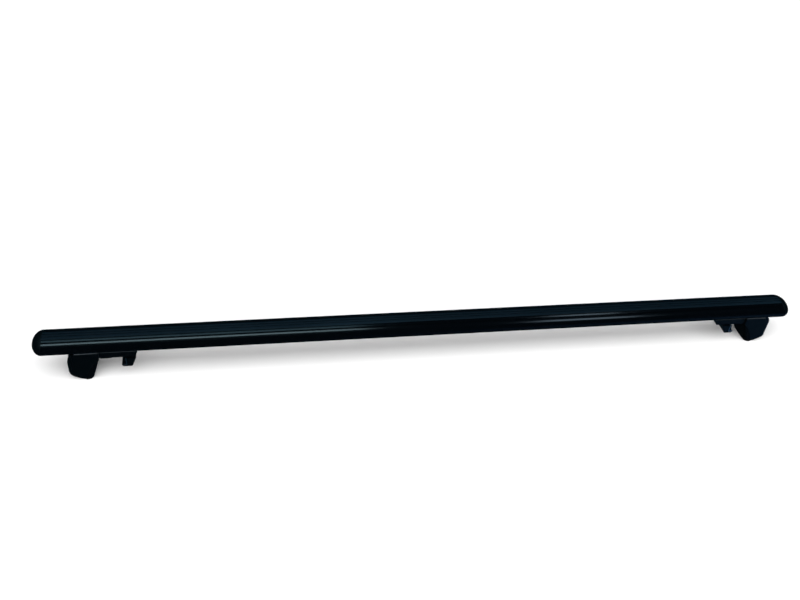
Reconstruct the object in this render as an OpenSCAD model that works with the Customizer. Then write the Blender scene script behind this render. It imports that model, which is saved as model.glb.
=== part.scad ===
// Roof rack crossbar with clamping feet for raised side rails.
// Millimetres. X runs along the bar, the front is -Y and Z is up.
// The origin lies under the middle of the bar, on the ground that the feet stand on.
// Each foot is drawn once with X pointing outward from its toe, and placed on both sides.

/* [Bar] */
// Length over both end caps
bar_length = 1200; // [1060:5:1400]
// Width of the oval section, front to rear
bar_width = 48; // [47:0.5:52]
// Height of the oval section
bar_height = 26; // [25.5:0.5:29]
// Radius of the section's front and rear edges
edge_radius = 9; // [8:0.5:10]
// Thickness of the outer wall
bar_wall = 2; // [1.6:0.1:2.2]
// Thickness of the walls around the two channels
channel_wall = 1.8; // [1.4:0.1:2]

/* [Top channel] */
// Width of the shallow recess that the rubber strip lies in
recess_width = 16.4; // [15:0.2:18]
// Depth of that recess below the crown
recess_depth = 1.8; // [1.5:0.1:2]
// Width of the channel's mouth
top_mouth = 10; // [8:0.5:11]
// Thickness of the lips beside the mouth
top_lip = 1.8; // [1.6:0.1:2]
// Width inside the channel
top_channel_width = 17; // [15:0.5:18]
// Height inside the channel
top_channel_height = 4; // [3.6:0.1:4.2]
// Distance of each fine groove in the crown from the middle
groove_offset = 13.6; // [12.5:0.1:15]
// Width of each fine groove
groove_width = 1.2; // [0.8:0.1:1.6]
// Depth of each fine groove
groove_depth = 0.8; // [0.5:0.1:1]

/* [Bottom channel] */
// Width of the channel's mouth
bottom_mouth = 8; // [7.5:0.1:9]
// Height of the lips, measured from the bar's lowest line
bottom_lip = 2.4; // [2.2:0.1:2.8]
// Width inside the channel
bottom_channel_width = 15; // [14.5:0.5:18]
// Height inside the channel
bottom_channel_height = 5.5; // [5:0.1:5.8]

/* [Rubber strip] */
// Height of the strip's crown above the bar's own crown
strip_rise = 0.4; // [0.2:0.1:0.8]
// Clearance at each side of the strip
strip_clearance = 0.2; // [0.1:0.05:0.4]
// Number of grooves along the strip
strip_grooves = 2; // [1:1:4]
// Width of each groove
strip_groove_width = 1.6; // [1:0.1:2]
// Depth of each groove
strip_groove_depth = 0.9; // [0.5:0.1:1.2]
// Width of the barbs that hold the strip down
barb_width = 13; // [12:0.5:14.5]
// Thickness of the barbs
barb_height = 1.6; // [1:0.1:2]

/* [End caps] */
// Length of each cap beyond the end of the extrusion
cap_length = 15; // [10:0.5:20]
// Squareness of the cap's rounding: 2 is an ellipse
cap_squareness = 2.1; // [2:0.1:3]
// Length of the plug inside the extrusion
plug_length = 24; // [15:1:30]
// Distance of the plug's sides from the edges of the bar
plug_inset = 4; // [3.6:0.1:8]
// Clearance above and below the plug
plug_clearance = 0.3; // [0.2:0.05:0.6]

/* [Foot] */
// Height of the bar's lowest line above the ground
foot_height = 46; // [45:0.5:56]
// Size of a foot, front to rear
foot_depth = 43; // [42.5:0.5:45]
// Thickness of the arm at the bar's lowest line, gasket included
plate_thickness = 8; // [8:0.1:8.6]
// Width of the arm that reaches inboard under the bar
arm_width = 36.8; // [36:0.2:38]
// Distance of the left toe from the left end of the bar
left_inset = 79; // [60:1:170]
// Distance of the right toe from the right end of the bar
right_inset = 64; // [60:1:170]
// Thickness of the gasket between foot and bar
gasket_thickness = 1; // [0.8:0.1:1.2]
// Clearance between the gasket and the bar
gasket_clearance = 0.3; // [0.2:0.05:0.4]
// Height of the toe's plastic edge above the ground
toe_height = 1.2; // [0.8:0.1:2]
// Radius of the foot's upright corners
corner_radius = 7; // [4:0.5:8]

/* [Rubber pads] */
// Inboard reach of the toe pad at its upper end
pad_lean = 11.2; // [10.6:0.1:13]
// Height of the toe pad
pad_height = 35; // [32:0.5:35.5]
// Extra thickness of the toe pad at the middle of its depth
pad_crown = 1.5; // [0:0.1:2]
// Thickness of the toe pad at the ground
pad_foot = 9.4; // [8.5:0.1:10]
// Thickness of the toe pad at its upper end
pad_head = 1.6; // [1.4:0.1:2]
// Radius of the toe pad's upright corners at the ground
pad_corner = 6; // [3:0.5:7]
// Thickness of the pads under the arm
rail_pad_thickness = 1.2; // [1:0.1:1.4]
// Width of each pad under the arm
rail_pad_width = 6; // [4:0.1:6.4]
// Length of each pad under the arm
rail_pad_length = 16; // [10:1:18]

/* [Clamp] */
// Thread diameter of the clamp screw
clamp_screw_d = 5; // [4:0.1:5.2]
// Lead of its thread
clamp_lead = 0.8; // [0.7:0.05:0.8]
// Head diameter of the clamp screw
clamp_head_d = 8.5; // [8:0.1:8.6]
// Head length of the clamp screw
clamp_head_length = 5; // [4:0.1:5.5]
// Depth of the screw's axis below the bar's lowest line
clamp_axis_drop = 4.7; // [4.6:0.05:4.9]
// Turns of the left screw from the fully open jaw
left_turns = 3; // [0:1:30]
// Turns of the right screw from the fully open jaw
right_turns = 21; // [0:1:30]
// Distance of the fully open jaw from the toe
jaw_open = 51.8; // [46:0.2:56]
// Depth of the jaw, front to rear
jaw_depth = 38; // [34:0.5:40]
// Height of the jaw below the arm
jaw_height = 15.8; // [13:0.1:18]
// Reach of the hook past the jaw's face
hook_reach = 6; // [5:0.1:6.5]
// Thickness of the steel hook plate
hook_thickness = 2; // [1.6:0.1:2.5]
// Thickness of the jaw's rubber pad at its lower edge
jaw_pad_thickness = 2.6; // [2:0.1:3]
// Width of the jaw's carriage in the arm
carriage_width = 19.4; // [18:0.1:19.6]
// Length of the carriage
carriage_length = 8.5; // [8:0.1:9]
// Reach of each guide tongue out of the carriage's side
tongue_reach = 3; // [2:0.1:3.2]
// Thickness of the guide tongues
tongue_thickness = 2.4; // [2:0.1:2.8]
// Running clearance of the carriage
slide_clearance = 0.3; // [0.2:0.05:0.4]

/* [Cover and lock] */
// Radius of the cover's outer face, seen from the front
cover_radius = 48; // [44:1:70]
// Farthest reach of the foot outward of its toe
foot_reach = 33.3; // [33:0.1:36]
// Depth of the cover's side walls
cover_depth = 5.2; // [5:0.1:5.6]
// Thickness of the cover's walls
cover_wall = 2.2; // [1.8:0.1:2.4]
// Gap between the cover and the foot
cover_gap = 0.3; // [0.2:0.05:0.4]
// Gap between the cover and the bar
cover_bar_gap = 1.4; // [1.3:0.1:2]
// Diameter of the hinge pin
pin_d = 2.5; // [2:0.1:3]
// Radius of the cover's knuckle
knuckle_radius = 3.3; // [3:0.1:3.5]
// Width of the knuckle along the pin
knuckle_width = 30; // [24:0.5:32]
// Diameter of the lock barrel
lock_d = 10; // [8:0.1:10.4]
// Height of the lock above the ground
lock_height = 27; // [26.5:0.1:27.2]
// Reach of the lock's cam from its axis
cam_reach = 8.5; // [7.5:0.1:8.8]
// Running clearance of pins and barrels
running_clearance = 0.06; // [0.03:0.01:0.1]

/* [Fixing] */
// Thread diameter of the fixing screw
fixing_d = 5; // [4:0.1:5.5]
// Head diameter of the fixing screw
fixing_head_d = 9.5; // [8:0.1:9.6]
// Head height of the fixing screw
fixing_head_height = 2.7; // [2.2:0.1:2.8]
// Distance of the fixing screw from the inboard end of the arm's trough
fixing_offset = 7; // [6.4:0.1:8]
// Length of the slot nut
slot_nut_length = 30; // [20:1:34]
// Thickness of the slot nut
slot_nut_thickness = 3.5; // [3:0.1:4]

/* [Hidden] */
$fn = 64;

black_metal = [0.06, 0.06, 0.07];
black_plastic = [0.10, 0.10, 0.11];
black_rubber = [0.03, 0.03, 0.03];
zinc = [0.72, 0.73, 0.74];
left = -1;
right = 1;
// Small overshoot that lets a cut pass its face
over = 1;

// Oval section: two crown arcs and two edge arcs that meet without a corner
half_width = bar_width / 2;
half_height = bar_height / 2;
edge_centre = half_width - edge_radius;
crown_radius = (pow(edge_centre, 2) + pow(half_height, 2) - pow(edge_radius, 2))
    / (2 * (half_height - edge_radius));
crown_centre = crown_radius - half_height;
crown_angle = asin(edge_centre / (crown_radius - edge_radius));
bar_z = foot_height + half_height;
extrusion_length = bar_length - 2 * cap_length;

// Heights inside the section, measured from its centre
recess_floor = half_height - recess_depth;
top_channel_top = recess_floor - top_lip;
top_channel_floor = top_channel_top - top_channel_height;
bottom_channel_floor = bottom_lip - half_height;
bottom_channel_top = bottom_channel_floor + bottom_channel_height;
chamber_top = top_channel_floor - channel_wall;
chamber_floor = bottom_channel_top + channel_wall;
strip_half = recess_width / 2 - strip_clearance;

// Foot: heights above the ground, and places outward of the toe
left_foot_x = bar_length / 2 - left_inset;
right_foot_x = bar_length / 2 - right_inset;
seat_z = foot_height - plate_thickness;
side_z = bar_z - half_height / 2;
clamp_z = foot_height - clamp_axis_drop;
seat_gap = gasket_clearance + gasket_thickness;
face_centre = [foot_reach - cover_radius, 26];
body_face_radius = cover_radius - cover_depth - cover_gap;
pin_x = foot_reach - 4.9;
pin_z = 16;
ear_radius = 4.8;
keel_sag = 1.3;
ear_gap = 0.4;
knuckle_relief = ear_radius + 0.05;
arm_bevel = 1.2;
pin_inset = 3;
rib_inner_x = -16;
rib_outer_x = 12;
rail_pad_outer_x = -14.5;
gasket_border = 0.2;
gasket_end = foot_reach - 13;
gasket_low_z = foot_height - seat_gap - 0.4;

// The hollow inner face passes through the back of the toe pad at its two ends
inner_radius = 64;
pad_back_low = [pad_foot, 0];
pad_back_high = [pad_head - pad_lean, pad_height];
inner_chord = pad_back_high - pad_back_low;
inner_rise = sqrt(pow(inner_radius, 2) - pow(norm(inner_chord) / 2, 2)) / norm(inner_chord);
inner_centre = (pad_back_low + pad_back_high) / 2 + inner_rise * [-inner_chord[1], inner_chord[0]];

// Clamp screw and the jaw's travel
clamp_seat_x = 17;
washer_thickness = 1;
clip_thickness = 0.8;
head_clearance = 0.35;
bore_clearance = 0.25;
jaw_gap = 0.3;
jaw_top_z = seat_z - rail_pad_thickness - jaw_gap;
jaw_bottom_z = jaw_top_z - jaw_height;
jaw_wall = 10.6;
hook_floor_z = jaw_bottom_z + 1.4;
hook_lip = 2.4;
nut_height = 8;
nut_length = 6;
nut_width = 14;
nut_clearance = 0.1;
tongue_z = clamp_z + 1.1;
trough_half = carriage_width / 2 + slide_clearance;
trough_outer_x = -20;
trough_inner_x = -jaw_open - carriage_length - 2 * slide_clearance;
clamp_tip_x = trough_inner_x + 1;

// The arm's slanted end, and the tail under the bar that takes the fixing screw
arm_low_x = trough_inner_x - 1.4;
arm_high_x = arm_low_x - 5.6;
fixing_x = trough_inner_x - fixing_offset;
tail_half = 7;
tail_z = foot_height - 5;
fixing_seat_z = foot_height - 3.9;

// Cover, lock and its pocket in the foot
lock_face_inset = 0.6;
cam_thickness = 2.6;
cam_width = 6;
cam_face_x = foot_reach - 10.1;
cam_gap = 0.4;
boss_wall = 2.3;
boss_x = foot_reach - cover_depth + 0.1;
pocket_front = 6.2;
pocket_rear = 10.2;
pocket_top = lock_height + 7.8;
pocket_sill = lock_height - 5.5;
pocket_floor = lock_height - 9.6;

// Points on an arc, its last point left out
function arc(centre, radius, first, last, steps) = [
    for (i = [0 : steps - 1])
        let (a = first + (last - first) * i / steps)
        [centre[0] + radius * cos(a), centre[1] + radius * sin(a)]
];

// The bar's oval outline in y and z, grown outward by a distance
function oval(grow) = concat(
    arc([edge_centre, 0], edge_radius + grow, crown_angle - 90, 90 - crown_angle, 16),
    arc([0, -crown_centre], crown_radius + grow, 90 - crown_angle, 90 + crown_angle, 16),
    arc([-edge_centre, 0], edge_radius + grow, 90 + crown_angle, 270 - crown_angle, 16),
    arc([0, crown_centre], crown_radius + grow, 270 - crown_angle, 270 + crown_angle, 16)
);

// Height of the crown above the section's centre
function crown_at(y) = sqrt(pow(crown_radius, 2) - pow(y, 2)) - crown_centre;

// Where the foot's hollow inner face stands at a height
function inner_face_x(z) = inner_centre[0]
    + sqrt(pow(inner_radius, 2) - pow(z - inner_centre[1], 2));

// Angle on a circle at which it reaches a height
function angle_at(centre, radius, z) = asin((z - centre[1]) / radius);

module along_x(length) {
    rotate([90, 0, 90])
        linear_extrude(height = length, center = true)
            children();
}

module along_y(depth) {
    rotate([90, 0, 0])
        linear_extrude(height = depth, center = true)
            children();
}

// A round bar or bore that starts at x and points outward
module rod_x(x, radius, length, z) {
    translate([x, 0, z])
        rotate([0, 90, 0])
            cylinder(r = radius, h = length);
}

// A box given by its lowest and highest corner
module box(low, high) {
    translate(low)
        cube(high - low);
}

// A closed skin over rings of points, all with the same number of points
module loft(rings) {
    count = len(rings[0]);
    last = (len(rings) - 1) * count;
    sides = [
        for (i = [0 : len(rings) - 2], j = [0 : count - 1])
            let (a = i * count + j, b = i * count + (j + 1) % count)
            each [[a, a + count, b + count], [a, b + count, b]]
    ];
    near = [[for (j = [0 : count - 1]) j]];
    far = [[for (j = [count - 1 : -1 : 0]) last + j]];
    polyhedron(points = [for (ring = rings) each ring], faces = concat(near, sides, far));
}

// Places a foot's piece under the left or the right end of the bar
module place(side) {
    if (side < 0)
        mirror([1, 0, 0])
            translate([left_foot_x, 0, 0])
                children();
    else
        translate([right_foot_x, 0, 0])
            children();
}

// Places a piece that travels with the jaw, drawn with the jaw's face at x = 0
module travel(side) {
    turns = side < 0 ? left_turns : right_turns;
    translate([turns * clamp_lead - jaw_open, 0, 0])
        children();
}

// Outline of a foot's block from above, with rounded outer corners
module foot_plan() {
    half = foot_depth / 2 - corner_radius;
    outer = foot_reach - corner_radius;
    inner = arm_low_x;
    linear_extrude(height = bar_z)
        polygon(concat(
            arc([outer, -half], corner_radius, -90, 0, 8),
            arc([outer, half], corner_radius, 0, 90, 8),
            [
                [outer, foot_depth / 2],
                [inner, foot_depth / 2],
                [inner, -foot_depth / 2]
            ]
        ));
}

// The space that the bar takes, grown by a gap
module bar_space(gap) {
    translate([0, 0, bar_z])
        along_x(bar_length)
            polygon(oval(gap));
}

module bar_extrusion() {
    color(black_metal)
        translate([0, 0, bar_z])
            along_x(extrusion_length)
                difference() {
                    polygon(oval(0));
                    difference() {
                        polygon(oval(-bar_wall));
                        translate([-top_channel_width / 2 - channel_wall, chamber_top])
                            square([top_channel_width + 2 * channel_wall, half_height]);
                        translate([-bottom_channel_width / 2 - channel_wall, chamber_floor - half_height])
                            square([bottom_channel_width + 2 * channel_wall, half_height]);
                    }
                    translate([-recess_width / 2, recess_floor])
                        square([recess_width, half_height]);
                    translate([-top_mouth / 2, top_channel_top - over])
                        square([top_mouth, half_height]);
                    translate([-top_channel_width / 2, top_channel_floor])
                        square([top_channel_width, top_channel_height]);
                    translate([-bottom_mouth / 2, -half_height - over])
                        square([bottom_mouth, bottom_lip + 2 * over]);
                    translate([-bottom_channel_width / 2, bottom_channel_floor])
                        square([bottom_channel_width, bottom_channel_height]);
                    for (side = [left, right])
                        translate([side * groove_offset, crown_at(groove_offset)])
                            rotate(-side * asin(groove_offset / crown_radius))
                                square([groove_width, 2 * groove_depth], center = true);
                }
}

module top_strip() {
    pitch = 2 * strip_half / (strip_grooves + 1);
    stem_width = top_mouth - 2 * strip_clearance;
    barb_top = top_channel_top - strip_clearance / 2;
    color(black_rubber)
        translate([0, 0, bar_z])
            along_x(extrusion_length) {
                difference() {
                    intersection() {
                        polygon(oval(strip_rise));
                        translate([-strip_half, recess_floor])
                            square([2 * strip_half, half_height]);
                    }
                    for (i = [1 : strip_grooves])
                        let (y = i * pitch - strip_half)
                        translate([y, crown_at(y) + strip_rise])
                            square([strip_groove_width, 2 * strip_groove_depth], center = true);
                }
                translate([-stem_width / 2, barb_top - barb_height])
                    square([stem_width, recess_floor - barb_top + barb_height]);
                translate([-barb_width / 2, barb_top - barb_height])
                    square([barb_width, barb_height]);
            }
}

// Half of a squared ellipse, from the seam to the tip of the cap
module end_cap() {
    steps = 12;
    last_angle = 84;
    power = 2 / cap_squareness;
    tip = pow(sin(last_angle), power);
    rings = [
        for (i = [0 : steps])
            let (a = last_angle * i / steps)
            let (x = cap_length * pow(sin(a), power) / tip)
            let (size = pow(cos(a), power))
            [for (p = oval(0)) [x, size * p[0], size * p[1]]]
    ];
    plug_half = half_width - plug_inset;
    plug_floor = chamber_floor + plug_clearance;
    plug_height = chamber_top - chamber_floor - 2 * plug_clearance;
    color(black_plastic)
        translate([extrusion_length / 2, 0, bar_z]) {
            loft(rings);
            translate([-plug_length, -plug_half, plug_floor])
                cube([plug_length + over, 2 * plug_half, plug_height]);
        }
}

module end_cap_left() {
    mirror([1, 0, 0])
        end_cap();
}

module end_cap_right() {
    end_cap();
}

// Points up the hollow inner face, which the toe pad's back shares
function inner_points() =
    let (low = angle_at(inner_centre, inner_radius, toe_height))
    let (high = angle_at(inner_centre, inner_radius, pad_height))
    concat(arc(inner_centre, inner_radius, low, high, 9), [[inner_face_x(pad_height), pad_height]]);

// Points between two ends on a line that sags, to the right of its direction
function sagging(start, end, sag, steps) =
    let (along = end - start)
    let (aside = [along[1], -along[0]] / norm(along))
    [for (i = [1 : steps - 1]) let (t = i / steps) start + t * along + 4 * sag * t * (1 - t) * aside];

// How far a corner of that radius draws back at a distance y from the middle of a depth
function corner_pull(y, half, radius) =
    radius - sqrt(pow(radius, 2) - pow(max(0, abs(y) - half + radius), 2));

// Side view of a foot's block without its cover and rubber
function block_outline() =
    let (points = inner_points())
    let (reach = [pin_x, pin_z] - points[0])
    let (keel = atan2(reach[1], reach[0]) - asin(ear_radius / norm(reach)) + 11)
    let (ear_start = [pin_x, pin_z] + ear_radius * [sin(keel), -cos(keel)])
    let (face_low = angle_at(face_centre, body_face_radius, pin_z + ear_radius))
    let (face_high = angle_at(face_centre, body_face_radius, side_z))
    concat(
        [
            [inner_face_x(seat_z), side_z],
            [inner_face_x(seat_z), seat_z]
        ],
        [for (i = [len(points) - 1 : -1 : 0]) points[i]],
        sagging(points[0], ear_start, keel_sag, 6),
        arc([pin_x, pin_z], ear_radius, keel - 90, 80, 12),
        arc(face_centre, body_face_radius, face_low, face_high, 10)
    );

// Arm under the bar, with a slanted end and bevelled lower edges
module arm() {
    half = arm_width / 2;
    intersection() {
        along_y(arm_width)
            polygon([
                [0, side_z],
                [arm_high_x, side_z],
                [arm_high_x, foot_height + 1.5],
                [arm_low_x, seat_z],
                [0, seat_z]
            ]);
        along_x(bar_length)
            polygon([
                [-half, seat_z + arm_bevel],
                [arm_bevel - half, seat_z],
                [half - arm_bevel, seat_z],
                [half, seat_z + arm_bevel],
                [half, side_z],
                [-half, side_z]
            ]);
    }
}

// Tail against the bar beyond the arm, rounded about the fixing screw
module tail(half, low, high) {
    translate([fixing_x, 0, low])
        cylinder(r = half, h = high - low);
    box([fixing_x, -half, low], [trough_inner_x, half, high]);
}

module foot_body() {
    tongue = trough_half + tongue_reach;
    tongue_half = tongue_thickness / 2 + slide_clearance;
    head_bore = clamp_head_d / 2 + head_clearance;
    rib_half = bottom_mouth / 2 - slide_clearance;
    relief = knuckle_width / 2 + cover_gap;
    pin_grip = 0.02;
    color(black_plastic) {
        difference() {
            union() {
                intersection() {
                    along_y(foot_depth)
                        polygon(block_outline());
                    foot_plan();
                }
                arm();
                tail(tail_half, tail_z, foot_height);
            }
            bar_space(seat_gap);
            // Trough for the jaw's carriage, with a groove along each side
            box([trough_inner_x, -trough_half, seat_z - over], [trough_outer_x, trough_half, bar_z]);
            box([trough_inner_x, -tongue, tongue_z - tongue_half],
                [trough_outer_x, tongue, tongue_z + tongue_half]);
            // Bore and head pocket of the clamp screw
            rod_x(trough_outer_x - over, clamp_screw_d / 2 + bore_clearance, foot_reach - trough_outer_x,
                clamp_z);
            rod_x(clamp_seat_x, head_bore, foot_reach, clamp_z);
            // Pocket that the lock's cam turns in, with a sill that it grips
            box([cam_face_x + cam_gap / 2, -pocket_front, pocket_sill],
                [foot_reach, pocket_rear, pocket_top]);
            box([cam_face_x - cam_thickness - over, -pocket_front, pocket_floor],
                [cam_face_x + cam_gap, pocket_rear, pocket_top]);
            // Room for the cover's knuckle, and the bore of its pin
            translate([pin_x, 0, pin_z])
                rotate([90, 0, 0])
                    cylinder(r = knuckle_relief, h = 2 * relief, center = true);
            box([pin_x - knuckle_radius / 2, -relief, 0], [foot_reach + over, relief, pin_z]);
            translate([pin_x, foot_depth / 2, pin_z])
                rotate([90, 0, 0])
                    cylinder(r = pin_d / 2 + pin_grip, h = foot_depth - pin_inset);
            // Stepped hole of the fixing screw
            translate([fixing_x, 0, tail_z - over])
                cylinder(r = fixing_head_d / 2 + bore_clearance, h = fixing_seat_z - tail_z + over);
            translate([fixing_x, 0, tail_z])
                cylinder(r = fixing_d / 2 + bore_clearance, h = plate_thickness);
        }
        // Rib that keeps the foot square in the bar's bottom channel
        box([rib_inner_x, -rib_half, gasket_low_z], [rib_outer_x, rib_half, foot_height + over]);
    }
}

module foot_gasket() {
    half = foot_depth / 2 - gasket_border;
    arm_half = arm_width / 2 - gasket_border;
    inner = inner_face_x(seat_z) + gasket_border;
    end = arm_high_x + over;
    color(black_rubber)
        difference() {
            intersection() {
                bar_space(seat_gap);
                union() {
                    box([inner, -half, gasket_low_z], [gasket_end, half, bar_z]);
                    box([end, -arm_half, gasket_low_z], [gasket_end, arm_half, bar_z]);
                    tail(tail_half - gasket_border, gasket_low_z, bar_z);
                }
            }
            bar_space(gasket_clearance);
            box([trough_inner_x, -trough_half, 0], [foot_reach, trough_half, bar_z]);
            translate([fixing_x, 0, gasket_low_z])
                cylinder(r = fixing_d / 2 + bore_clearance, h = 2 * seat_gap);
        }
}

// Wedge of rubber on the foot's inner face, thickest at the middle of its depth
module toe_pad() {
    steps = 16;
    half = foot_depth / 2 - gasket_border;
    head_corner = 0.75 * pad_head;
    back = concat([pad_back_low], inner_points());
    rings = [
        for (i = [0 : steps])
            let (t = cos(180 * i / steps))
            let (y = t * half)
            let (crown = pad_crown * (1 - pow(t, 2)))
            let (high_x = corner_pull(y, half, head_corner) - pad_lean - crown)
            let (low_x = corner_pull(y, half, pad_corner) - crown)
            concat(
                [for (p = back) [p[0], y, p[1]]],
                [[high_x, y, pad_height], [low_x, y, 0]]
            )
    ];
    color(black_rubber)
        loft(rings);
}

module rail_pads() {
    middle = arm_width / 2 - arm_bevel - gasket_border - rail_pad_width / 2;
    color(black_rubber)
        for (side = [left, right])
            translate([rail_pad_outer_x - rail_pad_length, side * middle - rail_pad_width / 2,
                    seat_z - rail_pad_thickness])
                cube([rail_pad_length, rail_pad_width, rail_pad_thickness]);
}

module clamp_screw() {
    socket = 2.3;
    head_x = clamp_seat_x + washer_thickness;
    color(zinc)
        difference() {
            union() {
                rod_x(clamp_tip_x, clamp_screw_d / 2, head_x - clamp_tip_x + over, clamp_z);
                rod_x(head_x, clamp_head_d / 2, clamp_head_length, clamp_z);
            }
            rod_x(head_x + clamp_head_length / 2, socket, clamp_head_length, clamp_z, $fn = 6);
        }
}

module clamp_washer() {
    inner_radius = clamp_screw_d / 2 + 0.15;
    color(zinc)
        difference() {
            rod_x(clamp_seat_x, clamp_head_d / 2 + 0.1, washer_thickness, clamp_z);
            rod_x(clamp_seat_x - over, inner_radius, washer_thickness + 2 * over, clamp_z);
        }
}

// Split ring that holds the screw back as it pushes the jaw open
module screw_clip() {
    outer = trough_outer_x - 0.1;
    inner = outer - clip_thickness;
    slot_half = clamp_screw_d / 3;
    color(zinc)
        difference() {
            rod_x(inner, clamp_screw_d / 2 + 1.4, clip_thickness, clamp_z);
            rod_x(inner - over, clamp_screw_d / 2, clip_thickness + 2 * over, clamp_z);
            box([inner - over, -slot_half, 0], [outer + over, slot_half, clamp_z]);
        }
}

// Jaw that hangs from a carriage in the arm, with a hook towards the toe
module jaw() {
    tongue_half = tongue_thickness / 2;
    half = carriage_width / 2;
    carriage_top = foot_height - 0.5;
    heel_radius = 3.8;
    heel_lean = 4.9;
    heel_angle = 209;
    nose_radius = 2.6;
    color(black_plastic)
        difference() {
            union() {
                along_y(jaw_depth)
                    polygon(concat(
                        [
                            [-hook_thickness, jaw_top_z],
                            [-jaw_wall - heel_lean, jaw_top_z]
                        ],
                        arc([heel_radius - jaw_wall, jaw_bottom_z + heel_radius], heel_radius, heel_angle, 270, 8),
                        arc([hook_reach - 3.6, jaw_bottom_z + nose_radius], nose_radius, 270, 330, 6),
                        [
                            [hook_reach - 1.4, hook_floor_z],
                            [-hook_thickness, hook_floor_z]
                        ]
                    ));
                box([-carriage_length, -half, jaw_top_z - over], [-hook_thickness, half, carriage_top]);
                box([-carriage_length, -half, jaw_top_z], [0, half, carriage_top]);
                box([-carriage_length, -half - tongue_reach, tongue_z - tongue_half],
                    [0, half + tongue_reach, tongue_z + tongue_half]);
            }
            rod_x(-carriage_length - over, clamp_screw_d / 2 + bore_clearance, carriage_length + 2 * over,
                clamp_z);
            translate([-carriage_length / 2, 0, clamp_z + nut_height / 2])
                cube([
                    nut_length + 2 * nut_clearance,
                    nut_width + 2 * nut_clearance,
                    2 * (nut_height + nut_clearance)
                ], center = true);
        }
}

// Steel plate down the jaw's face and over its hook, with a rounded lip
module hook_plate() {
    lip_radius = hook_lip / 2;
    color(zinc)
        along_y(jaw_depth - 1)
            polygon(concat(
                [
                    [-hook_thickness, hook_floor_z],
                    [hook_reach - lip_radius, hook_floor_z]
                ],
                arc([hook_reach - lip_radius, hook_floor_z + lip_radius], lip_radius, -90, 90, 10),
                [
                    [hook_reach - lip_radius, hook_floor_z + hook_lip],
                    [0, hook_floor_z + hook_lip],
                    [0, jaw_top_z],
                    [-hook_thickness, jaw_top_z]
                ]
            ));
}

module jaw_pad() {
    high = jaw_top_z - 0.2;
    color(black_rubber)
        along_y(jaw_depth - 1)
            polygon([
                [0, hook_floor_z + hook_lip],
                [jaw_pad_thickness, hook_floor_z + hook_lip],
                [0.4 * jaw_pad_thickness, high],
                [0, high]
            ]);
}

module jaw_nut() {
    color(zinc)
        difference() {
            translate([-carriage_length / 2, 0, clamp_z])
                cube([nut_length, nut_width, nut_height], center = true);
            rod_x(-carriage_length, clamp_screw_d / 2 + running_clearance, carriage_length, clamp_z);
        }
}

// Side view of the cover between two radii about the centre of its outer face
function cover_band(outer, inner, low) =
    let (high = side_z)
    concat(
        arc(face_centre, outer, angle_at(face_centre, outer, low), angle_at(face_centre, outer, high), 14),
        arc(face_centre, inner, angle_at(face_centre, inner, high), angle_at(face_centre, inner, low), 14)
    );

module outer_cover() {
    inner = cover_radius - cover_depth;
    low = pin_z + 2.5;
    half_hollow = foot_depth / 2 - cover_wall;
    color(black_plastic)
        difference() {
            union() {
                difference() {
                    intersection() {
                        along_y(foot_depth)
                            polygon(cover_band(cover_radius, inner, low));
                        foot_plan();
                    }
                    along_y(2 * half_hollow)
                        polygon(cover_band(cover_radius - cover_wall, inner - over, low + cover_wall + 2));
                    for (side = [left, right])
                        translate([pin_x, side * (knuckle_width / 2 + foot_depth / 2), pin_z])
                            rotate([90, 0, 0])
                                cylinder(r = ear_radius + ear_gap, h = foot_depth, center = true);
                }
                // Knuckle and the web that carries it
                translate([pin_x, 0, pin_z])
                    rotate([90, 0, 0])
                        cylinder(r = knuckle_radius, h = knuckle_width, center = true);
                along_y(knuckle_width)
                    polygon([
                        [pin_x, pin_z],
                        [pin_x + knuckle_radius, pin_z],
                        [foot_reach - 0.7, low + 1.5],
                        [boss_x + 0.3, low + 1.5]
                    ]);
                // Boss around the lock barrel
                rod_x(boss_x, lock_d / 2 + boss_wall, cover_depth - cover_wall, lock_height);
            }
            bar_space(cover_bar_gap);
            rod_x(boss_x - over, lock_d / 2 + running_clearance, foot_reach, lock_height);
            translate([pin_x, 0, pin_z])
                rotate([90, 0, 0])
                    cylinder(r = pin_d / 2 + running_clearance, h = foot_depth, center = true);
        }
}

module cover_pin() {
    color(zinc)
        translate([pin_x, foot_depth / 2 - 1, pin_z])
            rotate([90, 0, 0])
                cylinder(r = pin_d / 2, h = foot_depth - pin_inset - 1.5);
}

module lock_barrel() {
    face_x = foot_reach - lock_face_inset;
    key_width = 1.1;
    key_height = 5.6;
    key_depth = 4;
    color(zinc)
        difference() {
            union() {
                rod_x(cam_face_x, lock_d / 2, face_x - cam_face_x, lock_height);
                rod_x(cam_face_x - cam_thickness, cam_width / 2 + 1, cam_thickness + over, lock_height);
                box([cam_face_x - cam_thickness, 0, lock_height - cam_width / 2],
                    [cam_face_x, cam_reach, lock_height + cam_width / 2]);
            }
            translate([face_x, 0, lock_height])
                cube([2 * key_depth, key_width, key_height], center = true);
        }
}

module fixing_screw() {
    head_z = fixing_seat_z - fixing_head_height;
    tip_z = foot_height + bottom_lip + slot_nut_thickness + 0.5;
    socket = 1.7;
    color(zinc)
        translate([fixing_x, 0, 0])
            difference() {
                union() {
                    translate([0, 0, head_z])
                        cylinder(r = fixing_head_d / 2, h = fixing_head_height);
                    translate([0, 0, head_z])
                        cylinder(r = fixing_d / 2, h = tip_z - head_z);
                }
                translate([0, 0, head_z - over])
                    cylinder(r = socket, h = fixing_head_height / 2 + over, $fn = 6);
            }
}

module slot_nut() {
    color(zinc)
        difference() {
            translate([fixing_x - slot_nut_length / 2, -bottom_channel_width / 2 + 0.5,
                    foot_height + bottom_lip + 0.1])
                cube([slot_nut_length, bottom_channel_width - 1, slot_nut_thickness]);
            translate([fixing_x, 0, foot_height])
                cylinder(r = fixing_d / 2 + 0.05, h = bar_height / 2);
        }
}

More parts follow.
